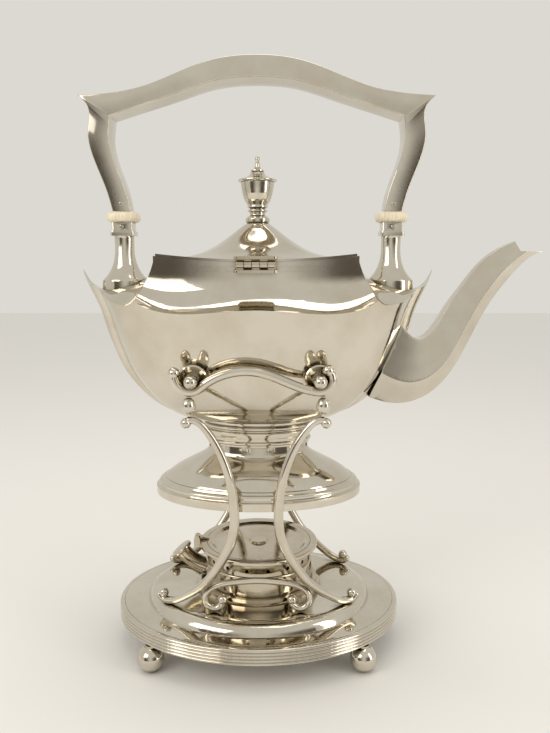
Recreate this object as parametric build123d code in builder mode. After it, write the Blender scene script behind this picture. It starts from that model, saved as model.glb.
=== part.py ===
from build123d import *
import os
from math import cos, hypot, radians, sin

# Spirit kettle on its stand, in millimetres. The origin is on the table, under the middle of
# the stand. X runs towards the spout, Y away from the hinge side, Z up.

os.makedirs("parts", exist_ok=True)

# ---------------------------------------------------------------- driving dimensions

# clearances
seat_gap = 0.05               # between pieces that are soldered or stand on each other
slip_gap = 0.3                # between pieces that lift or slide past each other
pin_gap = 0.05                # round a pin or a shaft

# ball feet and oval base
foot_ball_radius = 7.8
foot_ball_flat = 0.4          # worn flat that each ball stands on
foot_neck_radius = 3.0
foot_neck_length = 0.6
foot_at = (61.5, 46.0)
rim_half_width = 87.5
rim_half_depth = 69.0
rim_band = 3.0                # thickness of the reeded band
reed_count = 5
reed_height = 1.92
reed_depth = 0.8
base_sheet = 1.5
ledge_rise = 0.9              # the flat round the dome rises this much from the band
dome_half_width = 69.5
dome_half_depth = 57.5
dome_height = 6.0
crest_half_width = 64.5       # crisp upper edge of the dome
crest_half_depth = 49.0
dome_belly = (68.3, 55.5, 3.3)    # half width, half depth and rise where the dome turns upright
crest_dish = 0.9              # the top falls this much from its edge to the burner

# burner
collar_radius = 38.4
collar_step_radius = 36.4
collar_step_height = 3.0
collar_height = 6.2
font_radius = 33.4
font_height = 18.6
font_wall = 1.2
gallery_radius = 32.4
gallery_height = 8.4
gallery_wall = 1.2
gallery_hole_radius = 1.15
gallery_hole_count = 16
gallery_hole_up = 3.4
flange_radius = 36.8
flange_height = 2.4
wick_tube_radius = 9.0
wick_tube_height = 5.0
wick_radius = 7.6
wick_stand = 1.2              # how far the wick stands out of its tube
cover_thickness = 1.0
cover_dish = 1.4
cover_boss_radius = 5.0
cover_boss_height = 1.2
lug_width = 6.0
lug_pin_radius = 0.8
lug_radius = 1.8
filler_radius = 4.8
filler_bore = 3.6
filler_start_height = 11.4    # above the font's underside
filler_reach = 15.6
filler_rise = 10.6
filler_cap_radius = 6.8
filler_cap_height = 2.4
filler_plug_length = 2.6

# stand frames
frame_y = 51.5                # the two rails stand this far from the middle
rail_radius = 2.6
trunnion_x = 34.5
trunnion_z = 171.0
trunnion_radius = 3.25
cradle_gap = 0.3              # under each trunnion, in its hook
hook_radius = 8.6             # to the middle of the rod
hook_shift = 1.0              # the hook's middle lies this much outside its trunnion
open_hook_end = 170           # degrees round the open hook, from the spout side
closed_hook_radius = 6.6
closed_hook_end = 47
rail_ball_radius = 3.25
arch_height = 10.8            # the rail's crown above the bottom of its hooks
leg_radius = 2.35
leg_ball_radius = 3.0
bead_radius = 3.9
bead_height = 9.4
bead_neck_radius = 1.1
bead_neck_up = 0.5
bead_neck_down = 1.05
bead_x = 36.5
scroll_radius = 1.9
scroll_ball_radius = 2.9
scroll_y = 38.6

# kettle
wall = 1.3
bowl_bottom = 142.0
nose_length = 6.0             # the rounded nose of each end, along X
nose_along = 0.13             # its half depth, as a share of the outline's
corner_across, corner_along = 0.83, 0.58
soft_across, soft_along = 0.605, 0.86
panel_bow = 0.8
strainer_hole_radius = 1.6
strainer_pitch = 5.6
strainer_columns = 3
strainer_rows = 5
strainer_z = 177.0
neck_half_width = 56.5
neck_half_depth = 41.5
neck_dip = 3.4                # the rim is this much lower in the middle of each side
neck_z = 237.4                # the rim at its corners
mouth_half_width = 48.5
mouth_half_depth = 34.5
envelope_top = 262.0

# foot of the kettle
foot_bottom = 94.0
foot_half_width = 63.2
foot_half_depth = 42.7
foot_band_height = 4.6
foot_waist_half_width = 30.5
foot_waist_half_depth = 20.3
foot_waist_z = 120.2
vent_radius = 1.3
vent_z = 123.9
vent_count = 12
foot_collar_bottom = 125.5

# spout
spout_wall = 1.2
spout_top_share = 0.25        # half width of its top, as a share of the whole width
spout_keel_share = 0.22
spout_edge_share = 0.15       # its side edges are this much of its height below its middle
notch = (155.0, 240.6)        # between the spout's lip and its beak
beak_end = (176.0, 240.2)

# trunnions
trunnion_ball_radius = 3.6
trunnion_ball_y = 57.5
trunnion_collar_radius = 7.9
trunnion_collar_y = 47.9      # outer face of the dished collar
trunnion_root_y = 36.0

# lid
lid_border = 1.3
lid_overhang = 0.6
lid_corner = (54.7, 34.3)
lid_middle = (56.5, 42.0)     # half width and half depth through the middle
lid_skirt_depth = 3.0
lid_skirt_wall = 1.2
lid_top_thickness = 2.4
mouth_play = 0.4              # between the lid's skirt and the mouth
hinge_y = -45.0
hinge_z = 232.6
hinge_length = 21.4
hinge_knuckles = 5
knuckle_radius = 2.2
knuckle_gap = 0.15
hinge_pin_radius = 0.9
leaf_length = 23.6
leaf_thickness = 1.5
lid_leaf_z = 235.6            # underside of the lid's leaf
body_leaf_z = 228.2           # underside of the kettle's leaf
lid_leaf_reach = 2.2          # the leaves stand this far out past the pin
body_leaf_reach = 1.9

# finial
finial_z = 256.7
urn_z = 264.6
finial_cap_z = 280.6
stud_radius = 1.5
stud_length = 32.0

# handle
handle_x = 79.2               # middle of each lower end
handle_base_z = 263.5
handle_base = (73.9, 84.5)    # inner and outer face of a lower end, along X
handle_top_z = 349.1
handle_wall = 1.1
handle_depth_top = 10.7       # half depth at the arch
handle_depth_base = 6.0       # half depth at the insulators
insulator_half_width = 9.5
insulator_half_depth = 8.7
insulator_height = 6.2
insulator_corner = 6.0        # rounding seen from above
insulator_edge = 2.8          # rounding of its upper and lower edge
tenon_half_width = 3.6
tenon_half_depth = 3.4
tenon_length = 6.8
tenon_foot_length = 4.9
handle_pin_radius = 1.3
handle_pin_half_length = 6.8
handle_pin_dome = 0.5
handle_pin_up = 4.2           # upper pins above the insulators
block_pin_down = 2.6          # lower pins below them
socket_z = 212.0
block_half_width = 6.1
block_half_depth = 5.8
block_height = 5.2
socket_ring_height = 2.6
socket_ring_out = 1.0         # the ring stands this far out from the block

# worked-out levels
foot_centre_z = foot_ball_radius - foot_ball_flat
base_bottom = foot_centre_z + foot_ball_radius + foot_neck_length
rim_top = base_bottom + reed_count * reed_height
ledge_z = rim_top + ledge_rise
crest_z = ledge_z + dome_height
hearth_z = crest_z - crest_dish
font_bottom = hearth_z + seat_gap
gallery_bottom = font_bottom + font_height + seat_gap
flange_bottom = gallery_bottom + gallery_height
burner_top = flange_bottom + flange_height
rail_low_z = trunnion_z - trunnion_radius - rail_radius - cradle_gap
hook_z = rail_low_z + hook_radius
closed_hook_z = rail_low_z + closed_hook_radius
hook_x = trunnion_x + hook_shift
insulator_bottom = handle_base_z - insulator_height
block_bottom = insulator_bottom - block_height


# ---------------------------------------------------------------- shared shapes

def ovals(rows, centre_x=0):
    """Level oval outlines, one for each (half width, half depth, height)."""
    outlines = []
    for half_width, half_depth, height in rows:
        with BuildSketch(Plane((centre_x, 0, height))) as outline:
            Ellipse(half_width, half_depth)
        outlines.append(outline.sketch)
    return outlines


def bulge(start, end, rise):
    """Arc from start to end whose middle stands out to the right of the line by rise."""
    run_x, run_y = end[0] - start[0], end[1] - start[1]
    length = hypot(run_x, run_y)
    middle = ((start[0] + end[0]) / 2 + rise * run_y / length,
              (start[1] + end[1]) / 2 - rise * run_x / length)
    return ThreePointArc(start, middle, end)


# ---------------------------------------------------------------- base

def base_form(inset, bottom, mode):
    """The base's own shape from its underside to the burner's hearth, or that of its hollow."""
    loft(ovals([
        (rim_half_width - rim_band - inset, rim_half_depth - rim_band - inset, bottom),
        (rim_half_width - rim_band - inset, rim_half_depth - rim_band - inset, rim_top - inset),
        (dome_half_width - inset, dome_half_depth - inset, ledge_z - inset)]),
        ruled=True, mode=mode)
    loft(ovals([
        (dome_half_width - inset, dome_half_depth - inset, ledge_z - inset),
        (dome_belly[0] - inset, dome_belly[1] - inset, ledge_z + dome_belly[2] - inset),
        (crest_half_width - inset, crest_half_depth - inset, crest_z - inset)]),
        mode=mode)


with BuildPart() as base_plate:
    base_form(0, base_bottom, Mode.ADD)
    base_form(base_sheet, base_bottom, Mode.SUBTRACT)
    loft(ovals([(crest_half_width - 1, crest_half_depth - 1, crest_z),
                (collar_radius + 2, collar_radius, hearth_z)]), ruled=True, mode=Mode.SUBTRACT)
    with BuildSketch(Plane.XY.offset(hearth_z - base_sheet)):
        Ellipse(collar_radius + 4, collar_radius + 2)
    extrude(amount=base_sheet)

with BuildPart() as base_rim:
    for reed in range(reed_count):
        low = base_bottom + reed * reed_height
        loft(ovals([
            (rim_half_width - reed_depth, rim_half_depth - reed_depth, low),
            (rim_half_width, rim_half_depth, low + reed_height / 2),
            (rim_half_width - reed_depth, rim_half_depth - reed_depth, low + reed_height)]))
    loft(ovals([
        (rim_half_width - rim_band + seat_gap, rim_half_depth - rim_band + seat_gap, base_bottom),
        (rim_half_width - rim_band + seat_gap, rim_half_depth - rim_band + seat_gap, rim_top)]),
        ruled=True, mode=Mode.SUBTRACT)


def ball_foot(side_x, side_y):
    """One ball with its short neck, under the reeded band."""
    place = Plane((side_x * foot_at[0], side_y * foot_at[1], foot_centre_z))
    with BuildPart(place) as foot:
        Sphere(foot_ball_radius)
        with Locations((0, 0, foot_ball_radius / 2)):
            Cylinder(foot_neck_radius, foot_ball_radius / 2 + foot_neck_length,
                     align=(Align.CENTER, Align.CENTER, Align.MIN))
        with Locations((0, 0, foot_ball_flat - foot_ball_radius)):
            Cylinder(foot_ball_radius, foot_ball_radius,
                     align=(Align.CENTER, Align.CENTER, Align.MAX), mode=Mode.SUBTRACT)
    return foot.part


feet = {
    "foot_front_left": ball_foot(-1, -1),
    "foot_front_right": ball_foot(1, -1),
    "foot_back_left": ball_foot(-1, 1),
    "foot_back_right": ball_foot(1, 1),
}

# ---------------------------------------------------------------- burner

with BuildPart() as burner_collar:
    with BuildSketch(Plane.XZ):
        with BuildLine():
            Polyline(
                (font_radius + slip_gap, hearth_z),
                (collar_radius, hearth_z),
                (collar_radius, hearth_z + collar_step_height),
                (collar_step_radius, hearth_z + collar_step_height + 0.8),
                (collar_step_radius, hearth_z + collar_height),
                (font_radius + slip_gap, hearth_z + collar_height),
                close=True)
        make_face()
    revolve(axis=Axis.Z)

filler_start = Vector(1 - font_radius, 0, font_bottom + filler_start_height)
filler_end = filler_start + Vector(-filler_reach, 0, filler_rise)
with BuildLine() as filler_line:
    TangentArc(filler_start, filler_end, tangent=(-1, 0, 0.3))
filler_mouth = Plane(filler_line.line @ 1, z_dir=filler_line.line % 1)

with BuildPart() as filler_tube:
    with BuildSketch(Plane(filler_start, z_dir=filler_line.line % 0)):
        Circle(filler_radius)
        Circle(filler_bore, mode=Mode.SUBTRACT)
    sweep(path=filler_line.line)
    with BuildSketch():
        Circle(font_radius)
    extrude(amount=envelope_top, mode=Mode.SUBTRACT)

with BuildPart(filler_mouth) as filler_cap:
    with BuildSketch(filler_mouth.offset(seat_gap)):
        Circle(filler_cap_radius)
    extrude(amount=filler_cap_height)
    fillet(filler_cap.edges().filter_by(GeomType.CIRCLE), filler_cap_height / 3)
    with BuildSketch(filler_mouth.offset(seat_gap)):
        Circle(filler_bore - slip_gap)
    extrude(amount=-filler_plug_length)

with BuildPart() as burner_font:
    with BuildSketch(Plane.XY.offset(font_bottom)):
        Circle(font_radius)
    extrude(amount=font_height)
    fillet(burner_font.faces().sort_by(Axis.Z)[-1].edges(), font_wall)
    with BuildSketch(Plane.XY.offset(font_bottom + font_wall)):
        Circle(font_radius - font_wall)
    extrude(amount=font_height - 2 * font_wall, mode=Mode.SUBTRACT)
    with BuildSketch(Plane.XY.offset(font_bottom + font_height - 2 * font_wall)):
        Circle(wick_tube_radius + pin_gap)
    extrude(amount=2 * font_wall, mode=Mode.SUBTRACT)
    with BuildSketch(Plane(filler_start, z_dir=(-1, 0, 0))):
        Circle(filler_bore)
    extrude(amount=2 * font_wall, both=True, mode=Mode.SUBTRACT)

font_top = font_bottom + font_height
with BuildPart() as wick_tube:
    with BuildSketch(Plane.XY.offset(font_top + wick_tube_height)):
        Circle(wick_tube_radius)
        Circle(wick_radius + pin_gap, mode=Mode.SUBTRACT)
    extrude(amount=-wick_tube_height - font_height / 2)
    with BuildSketch(Plane.XY.offset(font_top + seat_gap)):
        Circle(wick_tube_radius + 2)
        Circle(wick_tube_radius, mode=Mode.SUBTRACT)
    extrude(amount=font_wall)

with BuildPart() as wick:
    with BuildSketch(Plane.XY.offset(font_top + wick_tube_height + wick_stand)):
        Circle(wick_radius)
    extrude(amount=-wick_tube_height - wick_stand - font_height + 3 * font_wall)
    fillet(wick.faces().sort_by(Axis.Z)[-1].edges(), wick_radius / 5)

with BuildPart() as burner_gallery:
    with BuildSketch(Plane.XY.offset(gallery_bottom)):
        Circle(gallery_radius)
        Circle(gallery_radius - gallery_wall, mode=Mode.SUBTRACT)
    extrude(amount=gallery_height)
    with BuildSketch(Plane.XY.offset(flange_bottom)):
        Circle(flange_radius)
        Circle(gallery_radius - gallery_wall, mode=Mode.SUBTRACT)
    extrude(amount=flange_height)
    with BuildSketch(Plane.XY.offset(burner_top)):
        Circle(gallery_radius + slip_gap)
    extrude(amount=-cover_thickness, mode=Mode.SUBTRACT)
    rim_edges = burner_gallery.edges().filter_by(GeomType.CIRCLE).filter_by(
        lambda edge: abs(edge.radius - flange_radius) < seat_gap)
    fillet(rim_edges, flange_height / 4)
    with PolarLocations(0, gallery_hole_count, start_angle=360 / gallery_hole_count / 2):
        with Locations(Location((gallery_radius, 0, gallery_bottom + gallery_hole_up), (0, 90, 0))):
            Hole(gallery_hole_radius, depth=2 * gallery_wall)

cover_z = burner_top - cover_thickness + seat_gap
hinge_lug_x = -flange_radius - lug_radius - slip_gap
lug_z = cover_z + cover_thickness + lug_radius / 2
with BuildPart() as snuffer_cover:
    with BuildSketch(Plane.XZ):
        with BuildLine():
            Polyline(
                (0, cover_z - cover_dish),
                (gallery_radius - 2 * gallery_wall - 2, cover_z - cover_dish),
                (gallery_radius - 2 * gallery_wall, cover_z),
                (gallery_radius, cover_z),
                (gallery_radius, cover_z + cover_thickness),
                (gallery_radius - 2 * gallery_wall, cover_z + cover_thickness),
                (gallery_radius - 2 * gallery_wall - 2, cover_z + cover_thickness - cover_dish),
                (cover_boss_radius + 1, cover_z + cover_thickness - cover_dish),
                (cover_boss_radius, cover_z + cover_thickness - cover_dish + cover_boss_height),
                (0, cover_z + cover_thickness - cover_dish + cover_boss_height),
                close=True)
        make_face()
    revolve(axis=Axis.Z)
    with BuildSketch(Plane.XZ):
        with BuildLine():
            Polyline(
                (1 - gallery_radius, cover_z + cover_thickness / 2),
                (-gallery_radius, cover_z + cover_thickness / 2),
                (-gallery_radius, burner_top + slip_gap),
                (hinge_lug_x, burner_top + slip_gap),
                (hinge_lug_x, lug_z + lug_radius),
                (1 - gallery_radius, lug_z),
                close=True)
        make_face()
        with Locations((hinge_lug_x, lug_z)):
            Circle(lug_radius)
            Circle(lug_pin_radius + pin_gap, mode=Mode.SUBTRACT)
    extrude(amount=lug_width / 4, both=True)

with BuildPart() as snuffer_hinge:
    for side in (-1, 1):
        with BuildSketch(Plane.XZ.offset(side * (lug_width / 4 + slip_gap))):
            with Locations((hinge_lug_x, lug_z)):
                Circle(lug_radius)
            with BuildLine():
                Polyline(
                    (hinge_lug_x - lug_radius, lug_z),
                    (hinge_lug_x - lug_radius, flange_bottom - lug_radius),
                    (-gallery_radius - seat_gap, flange_bottom - lug_radius),
                    (-gallery_radius - seat_gap, flange_bottom - seat_gap),
                    (-flange_radius - seat_gap, flange_bottom - seat_gap),
                    (-flange_radius - seat_gap, lug_z),
                    close=True)
            make_face()
        extrude(amount=side * lug_width / 4)
    with BuildSketch(Plane.XZ):
        with Locations((hinge_lug_x, lug_z)):
            Circle(lug_pin_radius)
    extrude(amount=lug_width / 2 + slip_gap, both=True)

# ---------------------------------------------------------------- stand frames


def rail(side_y):
    """Arched rail with an open hook on the left and a closed one on the spout side."""
    step = 30
    open_hook = [(hook_radius * cos(radians(angle)) - hook_x, hook_z + hook_radius * sin(radians(angle)))
                 for angle in range(open_hook_end, 360 - step, step)]
    closed_hook = [(closed_hook_radius * cos(radians(angle)) + trunnion_x,
                    closed_hook_z + closed_hook_radius * sin(radians(angle)))
                   for angle in range(closed_hook_end, -90 - step, -step)]
    crown = (0, rail_low_z + arch_height)
    with BuildPart() as bar:
        with BuildLine(Plane.XZ.offset(-side_y * frame_y)) as run:
            Spline(*open_hook, crown, *reversed(closed_hook))
        with BuildSketch(Plane(run.line @ 0, z_dir=run.line % 0)):
            Circle(rail_radius)
        sweep(path=run.line)
        with Locations(run.line @ 0, run.line @ 1):
            Sphere(rail_ball_radius)
    return bar.part


def leg(side_x, side_y):
    """Leg that curves in to its waist, then out to the edge of the base's dome."""
    foot_z = crest_z + leg_radius + seat_gap
    points = [
        (38.2, 50.6, hook_z - 26.1), (37, 50.5, hook_z - 24.9), (33.8, 50.4, hook_z - 24.9),
        (27.8, 50.2, hook_z - 29.5), (20.4, 50, hook_z - 41.6), (14.6, 49.8, hook_z - 58.6),
        (12.4, 49.2, hook_z - 75), (13.5, 48, hook_z - 92.3), (20, 45.4, hook_z - 107.4),
        (29, 41.4, foot_z + 17.3), (42, 35, foot_z + 5.7), (49, 31.4, foot_z + 1.2),
        (53.6, 28.8, foot_z - 0.1), (57, 26.8, foot_z + 0.3), (58.6, 26, foot_z + 1.9)]
    curl = (56.2, 27.6, foot_z + 4.0)
    with BuildPart() as rod:
        with BuildLine() as run:
            Spline(*[(side_x * x, side_y * y, z) for x, y, z in points])
        with BuildSketch(Plane(run.line @ 0, z_dir=run.line % 0)):
            Circle(leg_radius)
        sweep(path=run.line)
        with Locations(run.line @ 0, (side_x * curl[0], side_y * curl[1], curl[2])):
            Sphere(leg_ball_radius)
        with Locations(run.line @ 1):
            Sphere(leg_radius)
    return rod.part


def bead(side_x, side_y):
    """Turned bead that joins a leg to its rail."""
    top = rail_low_z - rail_radius - seat_gap
    centre = Vector(side_x * bead_x, side_y * (frame_y - 0.8), top - bead_height / 2 - bead_neck_up)
    with BuildPart() as knop:
        with BuildSketch(Plane(centre, x_dir=(1, 0, 0), z_dir=(0, -1, 0))):
            Ellipse(bead_radius, bead_height / 2)
            Rectangle(2 * bead_radius, bead_height, align=(Align.MAX, Align.CENTER),
                      mode=Mode.SUBTRACT)
        revolve(axis=Axis(centre, (0, 0, 1)))
        with BuildSketch(Plane(centre)) as neck:
            Circle(bead_neck_radius)
        extrude(neck.sketch, amount=bead_height / 2 + bead_neck_up)
        extrude(neck.sketch, amount=-bead_height / 2 - bead_neck_down)
    return knop.part


def base_scroll(side_y):
    """Low arched rod in front of the burner, its ends curled in to two balls."""
    low = hearth_z + scroll_radius + 0.9
    points = [
        (20.2, low + 5.4), (20.8, low + 2.2), (24.8, low), (29.2, low + 2.2), (30.4, low + 6.8),
        (26.8, low + 12.2), (14.6, low + 15.9), (0, low + 17.0)]
    outline = [(-x, z) for x, z in points] + list(reversed(points[:-1]))
    with BuildPart() as scroll:
        with BuildLine(Plane.XZ.offset(-side_y * scroll_y)) as run:
            Spline(*outline)
        with BuildSketch(Plane(run.line @ 0, z_dir=run.line % 0)):
            Circle(scroll_radius)
        sweep(path=run.line)
        with Locations(run.line @ 0, run.line @ 1):
            Sphere(scroll_ball_radius)
    return scroll.part


frames = {}
for side_y, side_name in ((-1, "front"), (1, "back")):
    frames[side_name + "_rail"] = rail(side_y)
    frames[side_name + "_base_scroll"] = base_scroll(side_y)
    for side_x, end_name in ((-1, "left"), (1, "right")):
        frames["leg_" + side_name + "_" + end_name] = leg(side_x, side_y)
        frames["bead_" + side_name + "_" + end_name] = bead(side_x, side_y)

# ---------------------------------------------------------------- kettle: the body's form

# half width and half depth of the bowl at heights above its flat bottom
bowl_levels = [
    (46.0, 26.5, 0), (56.5, 31.5, 4), (66.0, 36.2, 10.3), (73.5, 40, 17.7), (80.5, 43.4, 27),
    (86.5, 46.6, 40), (91.4, 51.2, 54), (95.2, 56, 66), (98.8, 59.2, 74), (104.6, 62, 89),
    (108, 63.6, 98)]


def bowl_outline(half_width, half_depth):
    """One level outline: round noses at the ends, canted corners, bowed front and back."""
    nose = (half_width - nose_length, nose_along * half_depth)
    corner = (corner_across * half_width, corner_along * half_depth)
    soft = (soft_across * half_width, soft_along * half_depth)
    ThreePointArc((nose[0], -nose[1]), (half_width, 0), nose)
    bulge(nose, corner, panel_bow)
    bulge(corner, soft, panel_bow)
    ThreePointArc(soft, (0, half_depth), (-soft[0], soft[1]))
    bulge((-soft[0], soft[1]), (-corner[0], corner[1]), panel_bow)
    bulge((-corner[0], corner[1]), (-nose[0], nose[1]), panel_bow)
    ThreePointArc((-nose[0], nose[1]), (-half_width, 0), (-nose[0], -nose[1]))
    bulge((-nose[0], -nose[1]), (-corner[0], -corner[1]), panel_bow)
    bulge((-corner[0], -corner[1]), (-soft[0], -soft[1]), panel_bow)
    ThreePointArc((-soft[0], -soft[1]), (0, -half_depth), (soft[0], -soft[1]))
    bulge((soft[0], -soft[1]), (corner[0], -corner[1]), panel_bow)
    bulge((corner[0], -corner[1]), (nose[0], -nose[1]), panel_bow)


def bowl_sides(inset):
    """Solid between the bowl's sides, or between their inner faces."""
    outlines = []
    for half_width, half_depth, rise in bowl_levels:
        lean = inset * min(1, rise / bowl_levels[3][2])
        height = bowl_bottom + rise + inset * (1 - 0.7 * min(1, rise / bowl_levels[5][2]))
        with BuildSketch(Plane.XY.offset(height)) as outline:
            with BuildLine():
                bowl_outline(half_width - 0.4 * inset - 0.6 * lean, half_depth - 0.4 * inset - 0.6 * lean)
            make_face()
        outlines.append(outline.sketch)
    loft(outlines)


# the shoulder in the front and back: (X, half depth and height of its edge), and how far
# behind that edge the neck stands
neck_run = 15.4
shoulder_levels = [
    (0, 57.4, 208.7), (39, 54.6, 205.4), (60, 49.6, 210), (112, 38, 216)]


def shoulder_front(inset):
    """Everything below the hollow moulding that runs along the front and the back."""
    low, far = bowl_bottom - wall, rim_half_depth + wall
    rows = [(-x, y, z) for x, y, z in reversed(shoulder_levels[1:])] + shoulder_levels
    sections = []
    for x, edge_y, edge_z in rows:
        edge_z -= inset
        neck_y = edge_y - neck_run - inset
        neck_low = neck_z - neck_dip - 2.5
        with BuildSketch(Plane.YZ.offset(x)) as section:
            with BuildLine():
                Polyline((-far, edge_z), (-far, low), (far, low), (far, edge_z), (edge_y, edge_z))
                ThreePointArc((edge_y, edge_z),
                              (neck_y + 4.4, (edge_z + neck_low) / 2 - 5), (neck_y, neck_low))
                Polyline((neck_y, neck_low), (neck_y, envelope_top),
                         (-neck_y, envelope_top), (-neck_y, neck_low))
                ThreePointArc((-neck_y, neck_low),
                              (-neck_y - 4.4, (edge_z + neck_low) / 2 - 5), (-edge_y, edge_z))
                Line((-edge_y, edge_z), (-far, edge_z))
            make_face()
        sections.append(section.sketch)
    loft(sections)


# the shoulder at each end, along X from the neck over the saddle to the tip of the wing,
# for distances along Y from the middle
end_x = [56.5, 61.8, 68.6, 78.0, 90.0, 97.5, 104.6, 108.0]
end_levels = {
    0: [234.0, 228.0, 223.4, 220.8, 219.0, 219.7, 230.7, 238],
    20: [234.0, 226.2, 220.6, 217.6, 215.0, 219.4, 230.7, 238],
    33: [234.0, 222.4, 215.0, 212.0, 213.4, 219.2, 230.7, 238],
    48: [234.0, 219.0, 212.0, 210.0, 212.8, 219.2, 230.7, 238],
    72: [234.0, 217.0, 211.0, 209.4, 212.6, 219.2, 230.7, 238]}


def shoulder_ends(inset):
    """Everything below the two saddles that carry the handle and rise to the wing tips."""
    low = bowl_bottom - wall
    sections = []
    offsets = sorted(end_levels)
    for y in [-offset for offset in reversed(offsets[1:])] + offsets:
        heights = end_levels[abs(y)]
        right = [(x - (inset if x < end_x[3] else 0), z - inset) for x, z in zip(end_x, heights)]
        left = [(-x, z) for x, z in reversed(right)]
        with BuildSketch(Plane.XZ.offset(-y)) as section:
            with BuildLine():
                Spline(*right)
                Polyline(right[-1], (right[-1][0], low), (-right[-1][0], low), left[0])
                Spline(*left)
                Polyline(left[-1], (left[-1][0], envelope_top), (right[0][0], envelope_top), right[0])
            make_face()
        sections.append(section.sketch)
    loft(sections)


def below_rim(inset):
    """Everything below the neck's rim, which dips in the middle of the front and back."""
    high = neck_z - inset
    far = bowl_levels[-1][0] + wall
    with BuildSketch(Plane.XZ) as side:
        with BuildLine():
            ThreePointArc((neck_half_width, high), (0, high - neck_dip), (-neck_half_width, high))
            Polyline((-neck_half_width, high), (-far, high), (-far, bowl_bottom - wall),
                     (far, bowl_bottom - wall), (far, high), (neck_half_width, high))
        make_face()
    extrude(side.sketch, amount=rim_half_depth, both=True, mode=Mode.INTERSECT)


with BuildPart() as sides_outer:
    bowl_sides(0)

with BuildPart() as sides_inner:
    bowl_sides(wall)

with BuildPart() as ends_outer:
    shoulder_ends(0)

with BuildPart() as ends_inner:
    shoulder_ends(wall)

with BuildPart() as shoulder_outer:
    shoulder_front(0)
    add(ends_outer.part, mode=Mode.INTERSECT)
    below_rim(0)

with BuildPart() as shoulder_inner:
    shoulder_front(wall)
    add(ends_inner.part, mode=Mode.INTERSECT)
    below_rim(wall)

with BuildPart() as kettle_form:
    add(sides_outer.part)
    add(shoulder_outer.part, mode=Mode.INTERSECT)

# ---------------------------------------------------------------- kettle: body

with BuildPart() as bowl:
    add(sides_outer.part)
    add(sides_inner.part, mode=Mode.SUBTRACT)
    add(shoulder_outer.part, mode=Mode.INTERSECT)
    with BuildSketch(Plane.YZ.offset(bowl_levels[0][0])):
        with Locations((0, strainer_z)):
            with GridLocations(strainer_pitch, strainer_pitch, strainer_columns, strainer_rows):
                Circle(strainer_hole_radius)
    extrude(amount=bowl_levels[-1][0] - bowl_levels[0][0], mode=Mode.SUBTRACT)

with BuildPart() as sides_seat:
    bowl_sides(wall + seat_gap)

with BuildPart() as shoulder_cover:
    add(sides_seat.part)
    add(shoulder_outer.part, mode=Mode.INTERSECT)
    add(shoulder_inner.part, mode=Mode.SUBTRACT)
    with BuildSketch(Plane.XY.offset(neck_z)):
        Ellipse(mouth_half_width, mouth_half_depth)
    extrude(amount=-neck_dip - 2 * wall, mode=Mode.SUBTRACT)

foot_collar_rows = [
    (31.4, 20.9, foot_collar_bottom), (31.4, 20.9, 126.6), (32.4, 21.8, 127.2), (32.4, 21.8, 128.4),
    (31.4, 20.9, 128.9), (31.9, 21.4, 130.8), (33.2, 22.6, 133.2), (33.2, 22.6, 134.2),
    (32.0, 21.5, 134.8), (32.0, 21.5, 135.6), (33.4, 22.8, 136.4), (33.4, 22.8, 137.4),
    (32.2, 21.7, 138.2), (34.0, 23.3, 139.2), (34.0, 23.3, 140.8), (32.4, 21.9, bowl_bottom - seat_gap)]
with BuildPart() as foot_collar:
    loft(ovals(foot_collar_rows), ruled=True)
    with BuildSketch(Plane.XY.offset(foot_collar_bottom)):
        Ellipse(foot_waist_half_width - wall, foot_waist_half_depth - wall)
    extrude(amount=bowl_bottom - foot_collar_bottom, mode=Mode.SUBTRACT)

foot_flare = [
    (57.6, 37.6, 103.8), (51, 33, 109.2), (43, 28, 113.6), (36, 23.5, 117.2),
    (foot_waist_half_width + 1, foot_waist_half_depth + 0.5, foot_waist_z)]
with BuildPart() as kettle_foot:
    loft(ovals(foot_flare))
    loft(ovals([foot_flare[-1], (foot_waist_half_width, foot_waist_half_depth, foot_waist_z + 2),
                (foot_waist_half_width, foot_waist_half_depth, foot_collar_bottom - seat_gap)]), ruled=True)
    loft(ovals([(w - wall, d - wall, z - wall / 2) for w, d, z in foot_flare]), mode=Mode.SUBTRACT)
    with BuildSketch(Plane.XY.offset(foot_waist_z - wall)):
        Ellipse(foot_waist_half_width - wall, foot_waist_half_depth - wall)
    extrude(amount=foot_collar_bottom - foot_waist_z + wall, mode=Mode.SUBTRACT)
    for vent in range(vent_count):
        angle = radians(360 / vent_count * (vent + 0.5))
        out = Vector(cos(angle) / foot_waist_half_width, sin(angle) / foot_waist_half_depth, 0)
        place = Vector(foot_waist_half_width * cos(angle), foot_waist_half_depth * sin(angle), vent_z)
        with BuildSketch(Plane(place, z_dir=out)):
            Circle(vent_radius)
        extrude(amount=2 * wall, both=True, mode=Mode.SUBTRACT)

foot_band_top = foot_bottom + foot_band_height
with BuildPart() as foot_rim:
    loft(ovals([
        (foot_half_width, foot_half_depth, foot_bottom),
        (foot_half_width, foot_half_depth, foot_band_top),
        (61.7, 41.3, foot_band_top + 0.5), (61.3, 40.9, foot_band_top + 1.5),
        (61.5, 41.1, foot_band_top + 2.6), (60.6, 40.3, foot_band_top + 3.6),
        (59.2, 39.1, foot_band_top + 3.9), (58.6, 38.6, foot_flare[0][2] - seat_gap)]), ruled=True)
    loft(ovals([(foot_half_width - 2 * wall, foot_half_depth - 2 * wall, foot_bottom),
                (foot_half_width - 2 * wall, foot_half_depth - 2 * wall, foot_band_top - wall),
                (foot_flare[0][0] - wall, foot_flare[0][1] - wall, foot_flare[0][2])]),
         ruled=True, mode=Mode.SUBTRACT)

# ---------------------------------------------------------------- kettle: spout

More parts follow.
